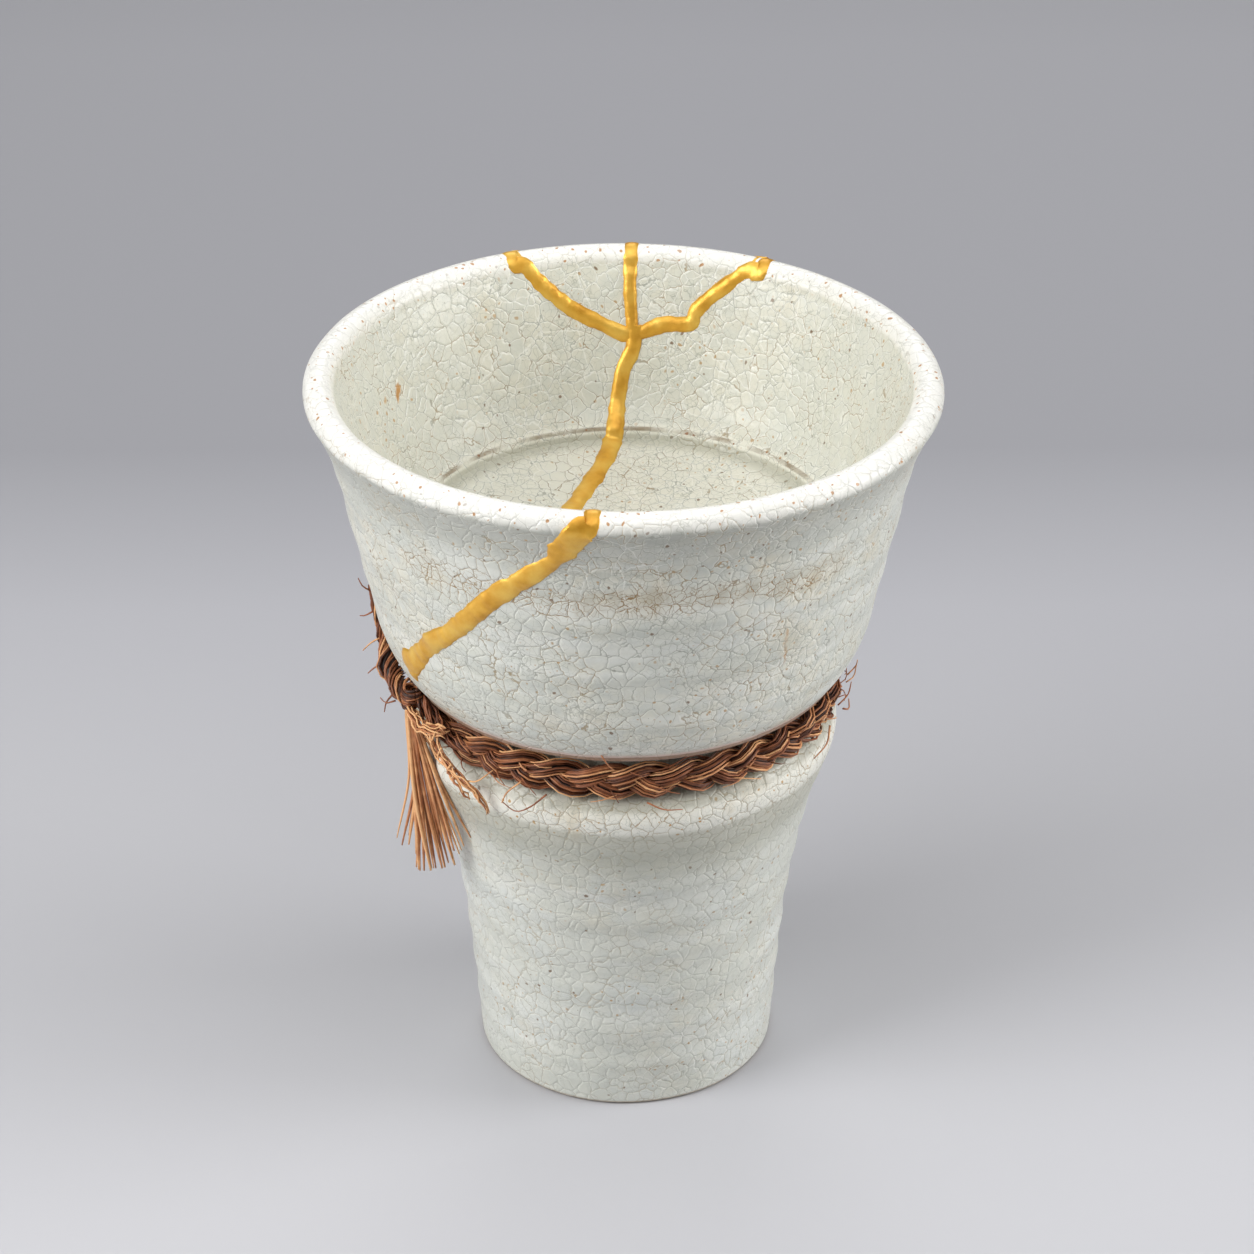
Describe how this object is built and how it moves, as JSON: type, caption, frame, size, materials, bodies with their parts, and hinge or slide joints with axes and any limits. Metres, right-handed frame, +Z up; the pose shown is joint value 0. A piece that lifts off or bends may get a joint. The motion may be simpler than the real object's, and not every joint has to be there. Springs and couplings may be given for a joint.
{
  "type": "kintsugi cup",
  "caption": "Tall waisted stoneware cup with a crackled pale glaze, cracks mended in raised gold, and a plaited palm fibre rope with a tassel round the waist.",
  "frame": {"origin": "middle of the foot, on the surface that the cup stands on", "axes": "+Z up along the cup's axis; -Y is the front, where the gold seam runs down the outside; the knot and tassel are at the left front, towards -X"},
  "size_m": [0.0928, 0.0935, 0.1153],
  "materials": {
    "crackle_glaze": "semi-gloss crackled celadon glaze over pale stoneware, with iron specks",
    "gold_lacquer": "burnished gold powder on raised lacquer",
    "palm_fibre": "raw reddish brown palm fibre, plaited"
  },
  "bodies": {
    "root": {"cup_body": "crackle_glaze", "rim_shard_left": "crackle_glaze", "rim_shard_right": "crackle_glaze", "gold_seam": "gold_lacquer", "palm_rope": "palm_fibre"}
  },
  "joints": []
}
